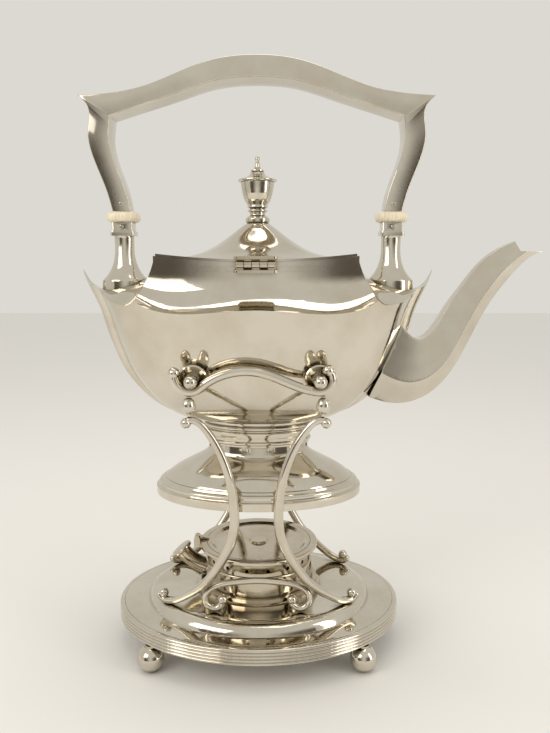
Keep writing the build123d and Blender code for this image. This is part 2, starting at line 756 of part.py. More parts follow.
# its upper and its lower line in the side view, as (X, Z), and its width between them
spout_stations = [
    ((84.0, 199.0), (67.0, 153.5), 30), ((91.5, 191.0), (83.0, 149.8), 30),
    ((98.0, 188.8), (97.5, 152.6), 29),
    ((106.0, 195.6), (114.0, 166.0), 26), ((112.4, 206.5), (125.0, 184.6), 22.5),
    ((120.0, 217.6), (134.0, 202.6), 19), ((128.6, 229.3), (141.5, 214.8), 16.6),
    ((137.2, 238.2), (148.5, 224.0), 14.6), ((145.8, 243.6), (155.0, 231.4), 13),
    ((154.0, 247.0), (162.0, 237.4), 11), ((161.0, 249.0), (169.6, 239.8), 5)]


def spout_tube(inset, mode):
    """Six-sided tube through the stations, a crisp edge low on each side."""
    sections = []
    for top, keel, width in spout_stations:
        high, low = Vector(top[0], 0, top[1]), Vector(keel[0], 0, keel[1])
        up = (high - low).normalized()
        half_width, half_height = width / 2 - inset, (high - low).length / 2 - inset
        with BuildSketch(Plane((high + low) / 2, x_dir=(0, 1, 0), z_dir=(up.Z, 0, -up.X))) as section:
            with BuildLine():
                Polyline(
                    (2 * spout_top_share * half_width, half_height),
                    (half_width, -2 * spout_edge_share * half_height),
                    (2 * spout_keel_share * half_width, -half_height),
                    (-2 * spout_keel_share * half_width, -half_height),
                    (-half_width, -2 * spout_edge_share * half_height),
                    (-2 * spout_top_share * half_width, half_height),
                    close=True)
            make_face()
        sections.append(section.sketch)
    loft(sections, mode=mode)


with BuildPart() as spout:
    spout_tube(0, Mode.ADD)
    spout_tube(spout_wall, Mode.SUBTRACT)
    with BuildSketch(Plane.XZ):
        with BuildLine():
            Polyline((notch[0] - 2.4, envelope_top), (notch[0] - 2.4, notch[1] + 4.8), notch,
                     beak_end, (beak_end[0], envelope_top), close=True)
        make_face()
    extrude(amount=spout_stations[0][2], both=True, mode=Mode.SUBTRACT)
    add(kettle_form.part, mode=Mode.SUBTRACT)

# ---------------------------------------------------------------- kettle: trunnions


def trunnion(side_x, side_y):
    """Turned pin with a dished collar and a ball end, on the front or back of the bowl."""
    centre = Vector(side_x * trunnion_x, 0, trunnion_z)
    profile = [
        (0, trunnion_root_y), (trunnion_collar_radius - 2, trunnion_root_y),
        (trunnion_collar_radius - 2, trunnion_collar_y - 5.4),
        (trunnion_collar_radius, trunnion_collar_y - 2.6),
        (trunnion_collar_radius, trunnion_collar_y - 0.6),
        (trunnion_collar_radius - 0.8, trunnion_collar_y),
        (trunnion_radius + 1.2, trunnion_collar_y - 1.4),
        (trunnion_radius, trunnion_collar_y - 1.4),
        (trunnion_radius, trunnion_ball_y), (0, trunnion_ball_y)]
    with BuildPart() as pin:
        with BuildSketch(Plane(centre)):
            with BuildLine():
                Polyline(*[(across, side_y * along) for across, along in profile], close=True)
            make_face()
        revolve(axis=Axis(centre, (0, 1, 0)))
        with Locations(centre + Vector(0, side_y * trunnion_ball_y, 0)):
            Sphere(trunnion_ball_radius)
        add(kettle_form.part, mode=Mode.SUBTRACT)
    return pin.part


trunnions = {
    "trunnion_front_left": trunnion(-1, -1),
    "trunnion_front_right": trunnion(1, -1),
    "trunnion_back_left": trunnion(-1, 1),
    "trunnion_back_right": trunnion(1, 1),
}

# ---------------------------------------------------------------- handle


def handle_face(inset):
    """Front view of the handle between its lower ends, or of its hollow."""
    ear = (101.4 - 3 * inset, 327.4 - inset)
    inner_corner = (83.5 + inset, 316.3 + inset)
    top = [ear, (85.4, 328.5 - inset), (64.5, 332.3 - inset), (44.2, 339.8 - inset),
           (24, 346.6 - inset), (0, handle_top_z - inset)]
    outside = [ear, (96.4 - inset, 322.4), (95.4 - inset, 318), (96.6 - inset, 308.2),
               (94 - inset, 292.9), (87.2 - inset, 274.1), (handle_base[1] - inset, handle_base_z)]
    inside = [(handle_base[0] + inset, handle_base_z), (75.6 + inset, 272.5), (80.6 + inset, 287.5),
              (84.6 + inset, 304), inner_corner]
    under = [inner_corner, (64.8, 322.2 + inset), (44.4, 328.6 + inset), (24.1, 334.8 + inset),
             (0, 337 + inset)]
    with BuildSketch(Plane.XZ) as face:
        with BuildLine():
            Spline(*top, *[(-x, z) for x, z in reversed(top[:-1])])
            Spline(*[(-x, z) for x, z in outside])
            Line((-outside[-1][0], handle_base_z), (-inside[0][0], handle_base_z))
            Spline(*[(-x, z) for x, z in inside])
            Spline(*[(-x, z) for x, z in under], *reversed(under[:-1]))
            Spline(*reversed(inside))
            Line(inside[0], outside[-1])
            Spline(*reversed(outside))
        make_face()
    return face.sketch


def handle_bar(inset):
    """The bar of that front view, deeper at the arch than at its lower ends."""
    base, crown = handle_depth_base - inset, handle_depth_top - inset
    extrude(handle_face(inset), amount=crown, both=True)
    with BuildSketch(Plane.YZ) as end_view:
        Polygon((base, handle_base_z), (crown, handle_top_z - crown), (crown, handle_top_z),
                (-crown, handle_top_z), (-crown, handle_top_z - crown), (-base, handle_base_z),
                align=None)
    extrude(end_view.sketch, amount=handle_x + 2 * crown, both=True, mode=Mode.INTERSECT)


with BuildPart() as handle_hollow:
    handle_bar(handle_wall)
    for side_x in (-1, 1):
        with BuildSketch(Plane.XY.offset(handle_base_z)):
            with Locations((side_x * handle_x, 0)):
                Rectangle(2 * (tenon_half_width + seat_gap), 2 * (tenon_half_depth + seat_gap))
        extrude(amount=tenon_length + seat_gap)


def pin_bores(radius):
    """The four pins' own shapes, through the handle's ends and the socket blocks."""
    for height in (handle_base_z + handle_pin_up, insulator_bottom - block_pin_down):
        with BuildSketch(Plane.XZ) as ends:
            with Locations((-handle_x, height), (handle_x, height)):
                Circle(radius)
        extrude(ends.sketch, amount=handle_pin_half_length, both=True)


with BuildPart() as handle_pins:
    pin_bores(handle_pin_radius)
    fillet(handle_pins.edges().filter_by(GeomType.CIRCLE), handle_pin_dome)

with BuildPart() as pin_holes:
    pin_bores(handle_pin_radius + pin_gap)

with BuildPart() as handle:
    handle_bar(0)
    add(handle_hollow.part, mode=Mode.SUBTRACT)
    add(pin_holes.part, mode=Mode.SUBTRACT)


def insulator(side_x):
    """Pale block between a socket and the handle, its tenons pinned into both."""
    with BuildPart() as block:
        with BuildSketch(Plane.XY.offset(insulator_bottom + seat_gap)):
            with Locations((side_x * handle_x, 0)):
                RectangleRounded(2 * insulator_half_width, 2 * insulator_half_depth, insulator_corner)
        extrude(amount=insulator_height - 2 * seat_gap)
        fillet(block.edges().filter_by(Axis.Z, reverse=True), insulator_edge)
        with BuildSketch(Plane.XY.offset(insulator_bottom - tenon_foot_length)):
            with Locations((side_x * handle_x, 0)):
                Rectangle(2 * tenon_half_width, 2 * tenon_half_depth)
        extrude(amount=tenon_foot_length + insulator_height + tenon_length)
        add(pin_holes.part, mode=Mode.SUBTRACT)
    return block.part


def socket(side_x):
    """Cast column that flares on to the shoulder and ends in a block for the insulator."""
    ring_bottom = block_bottom - socket_ring_height
    with BuildPart() as column:
        with BuildSketch(Plane((side_x * handle_x, 0, block_bottom))):
            RectangleRounded(2 * block_half_width, 2 * block_half_depth, 1)
        extrude(amount=block_height)
        with BuildSketch(Plane((side_x * handle_x, 0, ring_bottom))):
            RectangleRounded(2 * (block_half_width + socket_ring_out),
                             2 * (block_half_depth + socket_ring_out), 2 * socket_ring_out)
        extrude(amount=socket_ring_height)
        flare = ovals([
            (14, 12.8, socket_z), (13.5, 12.4, 223.5), (11.5, 11.2, 225.5), (8.9, 8.9, 229),
            (6.8, 6.9, 234), (5.8, 5.8, 240), (5.8, 5.8, ring_bottom)], side_x * handle_x)
        loft(flare[:2], ruled=True)
        loft(flare[1:])
        with BuildSketch(Plane((side_x * handle_x, 0, insulator_bottom))):
            Rectangle(2 * (tenon_half_width + seat_gap), 2 * (tenon_half_depth + seat_gap))
        extrude(amount=-tenon_foot_length - seat_gap, mode=Mode.SUBTRACT)
        add(kettle_form.part, mode=Mode.SUBTRACT)
        add(pin_holes.part, mode=Mode.SUBTRACT)
    return max(column.part.solids(), key=lambda solid: solid.volume)


# ---------------------------------------------------------------- lid

lid_rise = lid_border + seat_gap


def lid_outline(half_width, half_depth, corner_x, corner_y):
    """Level outline of four arcs through four corners."""
    ThreePointArc((corner_x, -corner_y), (half_width, 0), (corner_x, corner_y))
    ThreePointArc((corner_x, corner_y), (0, half_depth), (-corner_x, corner_y))
    ThreePointArc((-corner_x, corner_y), (-half_width, 0), (-corner_x, -corner_y))
    ThreePointArc((-corner_x, -corner_y), (0, -half_depth), (corner_x, -corner_y))


def between_rims(low, high):
    """Keep what lies between two heights above the curved rim of the neck."""
    far = neck_half_width + wall
    with BuildSketch(Plane.XZ) as band:
        with BuildLine():
            ThreePointArc((neck_half_width, neck_z + high), (0, neck_z - neck_dip + high),
                          (-neck_half_width, neck_z + high))
            Polyline((-neck_half_width, neck_z + high), (-far, neck_z + high), (-far, neck_z + low),
                     (-neck_half_width, neck_z + low))
            ThreePointArc((-neck_half_width, neck_z + low), (0, neck_z - neck_dip + low),
                          (neck_half_width, neck_z + low))
            Polyline((neck_half_width, neck_z + low), (far, neck_z + low), (far, neck_z + high),
                     (neck_half_width, neck_z + high))
        make_face()
    extrude(band.sketch, amount=rim_half_depth, both=True, mode=Mode.INTERSECT)


def dome(rows, mode):
    """Hollow-sided cone through level outlines."""
    outlines = []
    for half_width, half_depth, corner_x, corner_y, height in rows:
        with BuildSketch(Plane.XY.offset(height)) as outline:
            with BuildLine():
                lid_outline(half_width, half_depth, corner_x, corner_y)
            make_face()
        outlines.append(outline.sketch)
    loft(outlines, mode=mode)


skirt_width = mouth_half_width - mouth_play
skirt_depth = mouth_half_depth - mouth_play
with BuildPart() as lid_skirt:
    with BuildSketch(Plane.XY.offset(neck_z - neck_dip - lid_skirt_depth - wall)):
        Ellipse(skirt_width, skirt_depth)
        Ellipse(skirt_width - lid_skirt_wall, skirt_depth - lid_skirt_wall, mode=Mode.SUBTRACT)
    extrude(amount=neck_dip + 2 * lid_skirt_depth)
    between_rims(-lid_skirt_depth - wall, lid_rise)

with BuildPart() as lid:
    with BuildSketch(Plane.XY.offset(neck_z - neck_dip)):
        with BuildLine():
            lid_outline(lid_middle[0] + lid_overhang, lid_middle[1] + lid_overhang,
                        lid_corner[0] + lid_overhang, lid_corner[1] + lid_overhang)
        make_face()
    extrude(amount=neck_dip + lid_rise)
    between_rims(seat_gap, lid_rise)
    dome([
        (54.5, 40.3, 52.6, 32.6, 234.6), (46, 34.5, 41.8, 26, 236.6), (36.4, 27.5, 31.2, 20, 238.9),
        (23.8, 18.5, 19, 13.1, 244.5), (12.5, 11, 9.2, 7.8, 252.6),
        (7, 7, 4.95, 4.95, finial_z - seat_gap)], Mode.ADD)
    between_rims(seat_gap, envelope_top)
    dome([
        (skirt_width - lid_skirt_wall, skirt_depth - lid_skirt_wall, 44, 26.5, 228),
        (skirt_width - lid_skirt_wall, skirt_depth - lid_skirt_wall, 44, 26.5, 234),
        (35.4, 26.4, 30.2, 19, 237.5), (22.7, 17.4, 18, 12.2, 243.2),
        (11.3, 9.9, 8.3, 7, 251.2), (6, 6, 4.2, 4.2, 254.4)], Mode.SUBTRACT)
    add(lid_skirt.part)
    with BuildSketch(Plane.XY.offset(finial_z)):
        Circle(stud_radius + pin_gap)
    extrude(amount=-2 * lid_top_thickness, mode=Mode.SUBTRACT)

knuckle_pitch = hinge_length / hinge_knuckles
hinge_wall_y = shoulder_levels[0][1] - neck_run


def knuckles(turns, web_end):
    """Some of the hinge's knuckles, each with a web up or down to its leaf."""
    for turn in turns:
        start = hinge_length / 2 - (turn + 1) * knuckle_pitch + knuckle_gap
        with BuildSketch(Plane.YZ.offset(start)) as section:
            with Locations((hinge_y, hinge_z)):
                Circle(knuckle_radius)
            with Locations((hinge_y, (hinge_z + web_end) / 2)):
                Rectangle(knuckle_radius, abs(web_end - hinge_z))
            with Locations((hinge_y, hinge_z)):
                Circle(hinge_pin_radius + pin_gap, mode=Mode.SUBTRACT)
        extrude(section.sketch, amount=knuckle_pitch - 2 * knuckle_gap)


def leaf(low, inner_y, outer_y):
    """Flat leaf with rounded outer corners."""
    with BuildSketch(Plane.XY.offset(low)) as plan:
        with Locations((0, (inner_y + outer_y) / 2)):
            RectangleRounded(leaf_length, abs(outer_y - inner_y), knuckle_radius)
    extrude(plan.sketch, amount=leaf_thickness)


with BuildPart() as lid_hinge_leaf:
    leaf(lid_leaf_z, 1 - lid_middle[1], hinge_y - lid_leaf_reach)
    knuckles((1, 3), lid_leaf_z + leaf_thickness / 2)

with BuildPart() as body_hinge_leaf:
    leaf(body_leaf_z, -lid_middle[1], hinge_y - body_leaf_reach)
    knuckles((0, 2, 4), body_leaf_z + leaf_thickness / 2)
    add(kettle_form.part, mode=Mode.SUBTRACT)

with BuildPart() as lid_hinge_pin:
    with BuildSketch(Plane.YZ):
        with Locations((hinge_y, hinge_z)):
            Circle(hinge_pin_radius)
    extrude(amount=hinge_length / 2, both=True)

# ---------------------------------------------------------------- finial


def turned(profile):
    """Solid of revolution about the middle axis, bored for the stud."""
    with BuildSketch(Plane.XZ) as half:
        with BuildLine():
            Polyline(*profile, close=True)
        make_face()
    revolve(half.sketch, axis=Axis.Z)


bore = stud_radius + pin_gap
with BuildPart() as finial_foot:
    turned([
        (bore, finial_z), (6.2, finial_z), (7.2, finial_z + 1.2), (7.2, finial_z + 2.8),
        (6, finial_z + 4), (4.6, finial_z + 4.8), (4.6, finial_z + 6.4), (5.9, finial_z + 7),
        (5.9, urn_z - seat_gap), (bore, urn_z - seat_gap)])

with BuildPart() as finial_urn:
    turned([
        (bore, urn_z), (4.4, urn_z), (4.4, urn_z + 0.8), (6, urn_z + 1.3), (6, urn_z + 2.2),
        (5.8, urn_z + 2.6), (7.5, urn_z + 5.2), (8.7, urn_z + 8.6), (9.5, urn_z + 12.6),
        (9.9, finial_cap_z - seat_gap), (bore, finial_cap_z - seat_gap)])

with BuildPart() as finial_cap:
    turned([
        (bore, finial_cap_z), (10.6, finial_cap_z), (11.5, finial_cap_z + 0.7), (11.4, finial_cap_z + 1.3),
        (7.6, finial_cap_z + 2.4), (4.8, finial_cap_z + 4), (3.9, finial_cap_z + 5.6), (bore, finial_cap_z + 5.6)])

nut_z = finial_cap_z + 5.6 + seat_gap
with BuildPart() as finial_nut:
    turned([
        (0, nut_z), (3.4, nut_z), (3.9, nut_z + 0.5), (3.9, nut_z + 1.2), (2.2, nut_z + 1.9),
        (1.7, nut_z + 3), (1.5, nut_z + 4.6), (0.9, nut_z + 6.4), (0, nut_z + 6.4)])
    with Locations((0, 0, nut_z + 7.6)):
        Sphere(1.5)
    with BuildSketch(Plane.XY.offset(nut_z + seat_gap)):
        Circle(stud_radius)
    extrude(amount=-stud_length)

# ---------------------------------------------------------------- files

pieces = {
    "base_plate": base_plate.part,
    "base_rim": base_rim.part,
    "burner_collar": burner_collar.part,
    "filler_tube": filler_tube.part,
    "filler_cap": filler_cap.part,
    "burner_font": burner_font.part,
    "wick_tube": wick_tube.part,
    "wick": wick.part,
    "burner_gallery": burner_gallery.part,
    "snuffer_cover": snuffer_cover.part,
    "snuffer_hinge": snuffer_hinge.part,
    "bowl": bowl.part,
    "shoulder_cover": shoulder_cover.part,
    "foot_collar": foot_collar.part,
    "kettle_foot": kettle_foot.part,
    "foot_rim": foot_rim.part,
    "spout": spout.part,
    "handle": handle.part,
    "handle_pins": handle_pins.part,
    "insulator_left": insulator(-1),
    "insulator_right": insulator(1),
    "socket_left": socket(-1),
    "socket_right": socket(1),
    "body_hinge_leaf": body_hinge_leaf.part,
    "lid_hinge_pin": lid_hinge_pin.part,
    "lid": lid.part,
    "lid_hinge_leaf": lid_hinge_leaf.part,
    "finial_foot": finial_foot.part,
    "finial_urn": finial_urn.part,
    "finial_cap": finial_cap.part,
    "finial_nut": finial_nut.part,
}
pieces.update(feet)
pieces.update(frames)
pieces.update(trunnions)

for name, shape in pieces.items():
    shape.label = name
    export_step(shape, "parts/" + name + ".step")
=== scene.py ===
import math

import bmesh
import bpy
import numpy as np
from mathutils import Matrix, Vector


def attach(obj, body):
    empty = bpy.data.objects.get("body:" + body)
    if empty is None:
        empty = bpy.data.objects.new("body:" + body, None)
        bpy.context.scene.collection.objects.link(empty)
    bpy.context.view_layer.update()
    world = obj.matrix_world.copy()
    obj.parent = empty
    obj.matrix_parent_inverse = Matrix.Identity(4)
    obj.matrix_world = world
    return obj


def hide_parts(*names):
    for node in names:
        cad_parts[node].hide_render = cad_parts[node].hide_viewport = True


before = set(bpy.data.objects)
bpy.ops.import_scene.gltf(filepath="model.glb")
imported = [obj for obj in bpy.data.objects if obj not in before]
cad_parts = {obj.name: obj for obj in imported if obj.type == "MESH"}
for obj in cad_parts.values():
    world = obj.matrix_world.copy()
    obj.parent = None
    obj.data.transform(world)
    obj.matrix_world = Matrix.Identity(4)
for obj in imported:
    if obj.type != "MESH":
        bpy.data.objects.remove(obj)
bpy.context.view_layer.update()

# ---------------------------------------------------------------- studio
# A pale table top, a pale room and three large soft lamps. The camera stands in front,
# a little above the kettle's lid, and looks down by the photograph's angle.

camera_place = (0.0103, -0.417, 0.232)
camera_down = 8.3                      # degrees below the horizon
camera_focal = 690.0                   # in pixels of the 733 pixel high picture
picture_height = 733.0
sensor = 36.0
nearest_seen = 0.01

camera_data = bpy.data.cameras.new("camera")
camera_data.sensor_width = sensor
camera_data.lens = camera_focal / picture_height * sensor
camera_data.clip_start = nearest_seen
camera = bpy.data.objects.new("camera", camera_data)
bpy.context.scene.collection.objects.link(camera)
camera.location = camera_place
camera.rotation_euler = (math.radians(90 - camera_down), 0, 0)
bpy.context.scene.camera = camera
bpy.context.scene.view_settings.view_transform = "Standard"


def linear(hex_colour):
    """An sRGB hex colour as a linear colour with alpha 1."""
    parts = [int(hex_colour[i:i + 2], 16) / 255 for i in (1, 3, 5)]
    return [c / 12.92 if c <= 0.04045 else ((c + 0.055) / 1.055) ** 2.4 for c in parts] + [1]


def add_node(tree, kind, settings=None, values=None, **links):
    """Adds one shader or geometry node: settings are its properties, values its input values,
    links its inputs' sources. A link's name is the input's name with _ for a space."""
    node = tree.nodes.new(kind)
    for name, value in (settings or {}).items():
        setattr(node, name, value)
    for name, value in (values or {}).items():
        node.inputs[name].default_value = value
    for name, source in links.items():
        key = int(name[1:]) if name[0] == "i" and name[1:].isdigit() else name.replace("_", " ")
        tree.links.new(source, node.inputs[key])
    return node


def new_material(name):
    """An empty material and its node tree."""
    material = bpy.data.materials.new(name)
    material.use_nodes = True
    material.node_tree.nodes.clear()
    return material, material.node_tree


def lay_grid(name, points):
    """Mesh object from an array of points [along, across, 3]: each cell of the grid is a face."""
    rows, columns = points.shape[:2]
    index = np.arange(rows * columns).reshape(rows, columns)
    faces = np.stack([index[:-1, :-1], index[:-1, 1:], index[1:, 1:], index[1:, :-1]], axis=-1)
    mesh = bpy.data.meshes.new(name)
    mesh.from_pydata(points.reshape(-1, 3), [], faces.reshape(-1, 4))
    shape = bpy.data.objects.new(name, mesh)
    bpy.context.scene.collection.objects.link(shape)
    return shape


floor_colour = "#e9e7e2"
floor_half = 3.0
corner = np.array([-floor_half, floor_half])
table = lay_grid("table_top", np.stack([
    np.tile(corner[None, :], (2, 1)), np.tile(corner[:, None], (1, 2)), np.zeros((2, 2))], axis=-1))
paper, tree = new_material("matt pale paper")
grain = add_node(tree, "ShaderNodeTexNoise", values={"Scale": 900.0, "Detail": 2.0},
                 Vector=add_node(tree, "ShaderNodeTexCoord").outputs["Object"])
paper_bump = add_node(tree, "ShaderNodeBump", values={"Strength": 0.04, "Distance": 0.0002},
                      Height=grain.outputs["Fac"])
paper_shader = add_node(tree, "ShaderNodeBsdfPrincipled",
                        values={"Base Color": linear(floor_colour), "Roughness": 0.85},
                        Normal=paper_bump.outputs["Normal"])
add_node(tree, "ShaderNodeOutputMaterial", Surface=paper_shader.outputs["BSDF"])
table.data.materials.append(paper)

# Two grey cards stand in front of the table, thinned out towards their inner and upper edges.
# Only reflections show them, as soft dark bands on polished metal beside the lamps; the camera
# and the light pass through them.
card_colour = "#5f5a53"
card_inner, card_outer = 0.05, 0.62    # each card's edges, aside of the middle
card_full_x, card_full_z = 0.42, 0.22  # a card is at its densest outside and below these
card_foot, card_top = 0.02, 0.60
card_inner_y, card_outer_y = -0.80, -0.52
felt, tree = new_material("matt grey card")
weave = add_node(tree, "ShaderNodeTexNoise", values={"Scale": 600.0, "Detail": 2.0},
                 Vector=add_node(tree, "ShaderNodeTexCoord").outputs["Object"])
felt_bump = add_node(tree, "ShaderNodeBump", values={"Strength": 0.05, "Distance": 0.0002},
                     Height=weave.outputs["Fac"])
felt_shader = add_node(tree, "ShaderNodeBsdfPrincipled",
                       values={"Base Color": linear(card_colour), "Roughness": 0.9},
                       Normal=felt_bump.outputs["Normal"])
card_place = add_node(tree, "ShaderNodeSeparateXYZ",
                      Vector=add_node(tree, "ShaderNodeTexCoord").outputs["Object"])
aside = add_node(tree, "ShaderNodeMath", {"operation": "ABSOLUTE"}, i0=card_place.outputs["X"])
dense_x = add_node(tree, "ShaderNodeMapRange", {"interpolation_type": "SMOOTHSTEP"},
                   {"From Min": card_inner, "From Max": card_full_x}, Value=aside.outputs[0])
dense_z = add_node(tree, "ShaderNodeMapRange", {"interpolation_type": "SMOOTHSTEP"},
                   {"From Min": card_top, "From Max": card_full_z}, Value=card_place.outputs["Z"])
dense = add_node(tree, "ShaderNodeMath", {"operation": "MULTIPLY"},
                 i0=dense_x.outputs["Result"], i1=dense_z.outputs["Result"])
card_path = add_node(tree, "ShaderNodeLightPath")
shown = add_node(tree, "ShaderNodeMath", {"operation": "MULTIPLY"},
                 i0=dense.outputs[0], i1=card_path.outputs["Is Glossy Ray"])
card_shader = add_node(tree, "ShaderNodeMixShader", i0=shown.outputs[0],
                       i1=add_node(tree, "ShaderNodeBsdfTransparent").outputs["BSDF"],
                       i2=felt_shader.outputs["BSDF"])
add_node(tree, "ShaderNodeOutputMaterial", Surface=card_shader.outputs["Shader"])
for card_name, side in (("left_card", -1), ("right_card", 1)):
    card = lay_grid(card_name, np.array([[(side * card_inner, card_inner_y, z),
                                          (side * card_outer, card_outer_y, z)]
                                         for z in (card_foot, card_top)]))
    card.data.materials.append(felt)

world = bpy.data.worlds.new("pale room")
bpy.context.scene.world = world
world.use_nodes = True
tree = world.node_tree
tree.nodes.clear()
path = add_node(tree, "ShaderNodeLightPath")
seen = add_node(tree, "ShaderNodeMath", {"operation": "MAXIMUM"},
                i0=path.outputs["Is Camera Ray"], i1=path.outputs["Is Glossy Ray"])
seen = add_node(tree, "ShaderNodeMath", {"operation": "MAXIMUM"},
                i0=seen.outputs[0], i1=path.outputs["Is Transmission Ray"])
room_light = add_node(tree, "ShaderNodeBackground",
                      values={"Color": linear("#f7f5f1"), "Strength": 0.86})
room_seen = add_node(tree, "ShaderNodeBackground", values={"Color": linear("#dcd9d2"), "Strength": 1.0})
either = add_node(tree, "ShaderNodeMixShader", i0=seen.outputs[0],
                  i1=room_light.outputs[0], i2=room_seen.outputs[0])
add_node(tree, "ShaderNodeOutputWorld", Surface=either.outputs[0])

# each lamp: name, place, what it points at, width and height in metres, watts
lamp_colour = "#fff9f1"
lamps = (
    ("left softbox", (-0.62, -0.60, 0.62), (0.0, 0.0, 0.18), 0.60, 0.50, 2.6),
    ("right strip", (0.72, -0.36, 0.40), (0.0, 0.0, 0.18), 0.18, 0.70, 1.3),
    ("top softbox", (0.05, 0.10, 1.05), (0.0, 0.0, 0.15), 0.60, 0.45, 1.6))
for lamp_name, place, aim, width, height, watts in lamps:
    light = bpy.data.lights.new(lamp_name, "AREA")
    light.shape = "RECTANGLE"
    light.size, light.size_y, light.energy = width, height, watts
    light.color = linear(lamp_colour)[:3]
    lamp = bpy.data.objects.new(lamp_name, light)
    bpy.context.scene.collection.objects.link(lamp)
    lamp.location = place
    lamp.rotation_euler = (Vector(aim) - Vector(place)).to_track_quat("-Z", "Y").to_euler()

# ---------------------------------------------------------------- oval base
# A pressed oval plate with a low dome and a sharp crest, inside a band of five reeds, on four
# balls. All of it is brass sheet and castings under silver plate, soldered and polished.


def silver_finish(name, clean, worn, hollow_shade, dull_most):
    """Polished silver plate: a warm mirror in two close tones that drift in soft clouds, with painted
    shade turning it dark brown in corners and hollows, a little duller in smears, crossed by fine wiping
    marks."""
    material, tree = new_material(name)
    place = add_node(tree, "ShaderNodeTexCoord").outputs["Object"]
    cloud = add_node(tree, "ShaderNodeTexNoise", values={"Scale": 34.0, "Detail": 5.0, "Roughness": 0.6},
                     Vector=place)
    tone = add_node(tree, "ShaderNodeValToRGB", Fac=cloud.outputs["Fac"])
    tone.color_ramp.elements[0].position, tone.color_ramp.elements[0].color = 0.36, linear(worn)
    tone.color_ramp.elements[1].position, tone.color_ramp.elements[1].color = 0.62, linear(clean)
    # Painted shade: where ambient occlusion finds other surfaces within 5 mm, the colour turns towards
    # the dark brown hollow colour.
    open_air = add_node(tree, "ShaderNodeAmbientOcclusion", {"samples": 8}, {"Distance": 0.005})
    unshaded_share = add_node(tree, "ShaderNodeMapRange", values={
        "From Min": 0.25, "From Max": 0.8, "To Min": 0.0, "To Max": 1.0}, Value=open_air.outputs["AO"])
    colour = add_node(tree, "ShaderNodeMix", {"data_type": "RGBA"}, i0=unshaded_share.outputs["Result"],
                      i7=tone.outputs["Color"])
    colour.inputs[6].default_value = linear(hollow_shade)
    smear = add_node(tree, "ShaderNodeTexNoise", values={"Scale": 140.0, "Detail": 6.0, "Roughness": 0.7},
                     Vector=place)
    dull = add_node(tree, "ShaderNodeMapRange", values={
        "From Min": 0.35, "From Max": 0.75, "To Min": 0.05, "To Max": dull_most},
        Value=smear.outputs["Fac"])
    stretch = add_node(tree, "ShaderNodeMapping", values={"Scale": (2400, 260, 420)}, Vector=place)
    scratch = add_node(tree, "ShaderNodeTexNoise", values={"Scale": 1.0, "Detail": 3.0},
                       Vector=stretch.outputs["Vector"])
    dent = add_node(tree, "ShaderNodeTexNoise", values={"Scale": 70.0, "Detail": 1.0}, Vector=place)
    fine = add_node(tree, "ShaderNodeBump", values={"Strength": 0.12, "Distance": 0.00003},
                    Height=scratch.outputs["Fac"])
    wave = add_node(tree, "ShaderNodeBump", values={"Strength": 0.22, "Distance": 0.0004},
                    Height=dent.outputs["Fac"], Normal=fine.outputs["Normal"])
    shader = add_node(tree, "ShaderNodeBsdfPrincipled", values={"Metallic": 1.0},
                      Base_Color=colour.outputs[2], Roughness=dull.outputs["Result"],
                      Normal=wave.outputs["Normal"])
    add_node(tree, "ShaderNodeOutputMaterial", Surface=shader.outputs["BSDF"])
    return material


doubled = 1e-6                         # points closer than this are one, in metres
crease_angle = 28                      # degrees; a sharper turn between faces stays an edge
arris_angle = 32                       # degrees; a sharper edge is polished round
arris_segments = 3


def smoothing_group(crease):
    """Geometry nodes that join a mesh's doubled points and shade it smooth, with sharp edges
    where two faces turn by more than the crease angle."""
    group = bpy.data.node_groups.new("smooth shading", "GeometryNodeTree")
    group.interface.new_socket("Geometry", in_out="INPUT", socket_type="NodeSocketGeometry")
    group.interface.new_socket("Geometry", in_out="OUTPUT", socket_type="NodeSocketGeometry")
    start = add_node(group, "NodeGroupInput")
    joined = add_node(group, "GeometryNodeMergeByDistance", values={"Distance": doubled},
                      Geometry=start.outputs[0])
    whole = add_node(group, "GeometryNodeSetShadeSmooth", {"domain": "FACE"},
                     Geometry=joined.outputs[0])
    angle = add_node(group, "GeometryNodeInputMeshEdgeAngle")
    turn = add_node(group, "FunctionNodeCompare", {"data_type": "FLOAT", "operation": "GREATER_THAN"},
                    {"B": math.radians(crease)}, A=angle.outputs["Unsigned Angle"])
    edges = add_node(group, "GeometryNodeSetShadeSmooth", {"domain": "EDGE"},
                     {"Shade Smooth": False}, Geometry=whole.outputs[0], Selection=turn.outputs[0])
    add_node(group, "NodeGroupOutput", Geometry=edges.outputs[0])
    return group


smooth_shading = smoothing_group(crease_angle)


def dress(names, finish, arris=0.0):
    """Gives each of these pieces its finish and smooth shading, and polishes its edges round:
    arris is the width of the rounding in metres, 0 for an edge left sharp."""
    for name in names:
        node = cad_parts[name]
        node.data.materials.clear()
        node.data.materials.append(finish)
        if arris:
            weld = node.modifiers.new("joined points", "WELD")
            weld.merge_threshold = doubled
            bevel = node.modifiers.new("polished edges", "BEVEL")
            bevel.width, bevel.segments = arris, arris_segments
            bevel.angle_limit = math.radians(arris_angle)
        node.modifiers.new("smooth shading", "NODES").node_group = smooth_shading


def four(kind):
    """Names of the four alike pieces of a kind, at the front and back, left and right."""
    return [kind + end + side for end in ("_front_", "_back_") for side in ("left", "right")]


base_arris = 0.00025
# Its third colour, #7f7458, is the painted shade in the plate's corners and hollows.
plate = silver_finish("polished silver plate", "#d9d3c6", "#cec6b6", "#7f7458", 0.13)
dress(("base_plate", "base_rim"), plate, base_arris)
dress(four("foot"), plate)

# ---------------------------------------------------------------- spirit burner
# A round font with a bent filler and its cap, a pierced gallery with a flat flange, and a
# dished cover on a small hinge. Its plate is duller and browner from heat. The wick is cotton.

# Its third colour, #65573f, is the painted shade in the burner's corners and hollows.
heated = silver_finish("heat-stained silver plate", "#cfc7b6", "#bfb39c", "#65573f", 0.2)
dress(("burner_collar", "filler_tube", "filler_cap", "burner_font", "wick_tube", "burner_gallery",
       "snuffer_cover", "snuffer_hinge"), heated)

